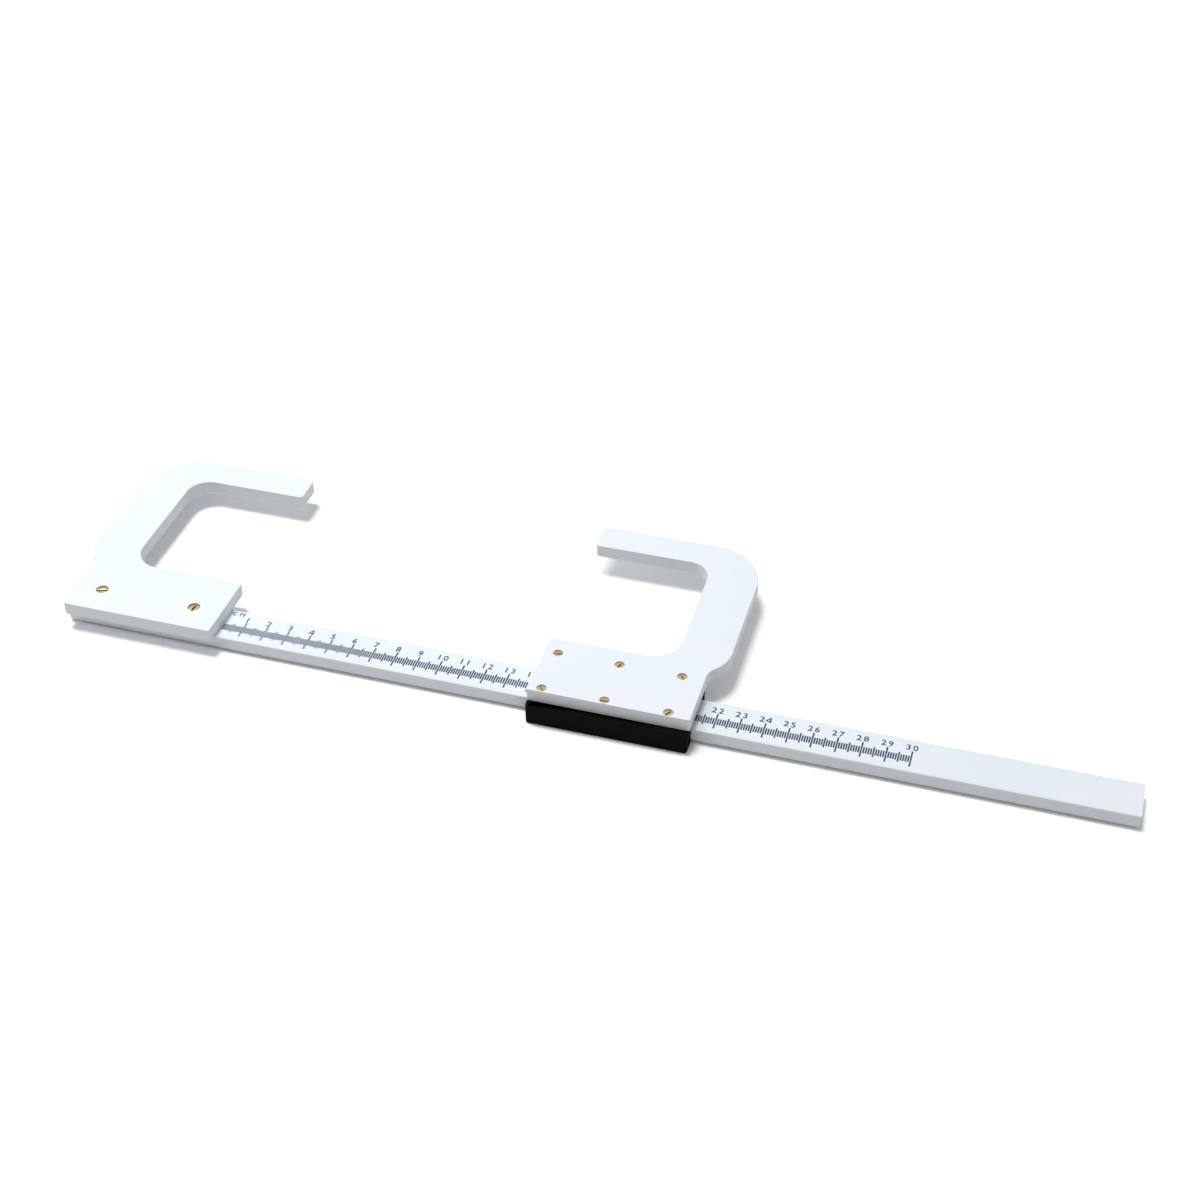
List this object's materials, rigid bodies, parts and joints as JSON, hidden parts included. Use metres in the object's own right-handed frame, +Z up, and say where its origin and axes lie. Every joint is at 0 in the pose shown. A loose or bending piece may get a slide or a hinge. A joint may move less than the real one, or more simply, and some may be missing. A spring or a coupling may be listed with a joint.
{
  "type": "small sliding anthropometer",
  "caption": "Small sliding anthropometer: a flat scaled rail with a fixed C-shaped jaw and a C-shaped jaw that slides along it on a friction guide.",
  "frame": {"origin": "the scale's zero, on the centre line of the rail's underside, straight below the fixed jaw's measuring edge", "axes": "+X along the rail towards larger readings, +Y from the rail towards the jaws' tips, +Z up through the rail and jaws"},
  "size_m": [0.467, 0.1191, 0.0154],
  "materials": {
    "white_plastic": "satin",
    "black_plastic": "matt",
    "glide_plastic": "smooth",
    "brass": "turned",
    "spring_steel": "rolled",
    "screw_steel": "turned"
  },
  "bodies": {
    "frame": {"rail": "white_plastic", "fixed_jaw": "white_plastic", "fixed_jaw_screws": "brass"},
    "slider": {"sliding_jaw": "white_plastic", "front_guide_bar": "black_plastic", "rear_guide_bar": "black_plastic", "keeper_plate": "black_plastic", "front_glide_strip": "glide_plastic", "rear_glide_strip": "glide_plastic", "drag_spring": "spring_steel", "front_jaw_screws": "brass", "rear_jaw_screws": "brass", "front_keeper_screws": "screw_steel", "rear_keeper_screws": "screw_steel"}
  },
  "joints": [
    {"name": "slider_travel", "type": "slide", "parent": "frame", "child": "slider", "axis": [1, 0, 0], "range_m": [-0.1425, 0.1574]}
  ]
}
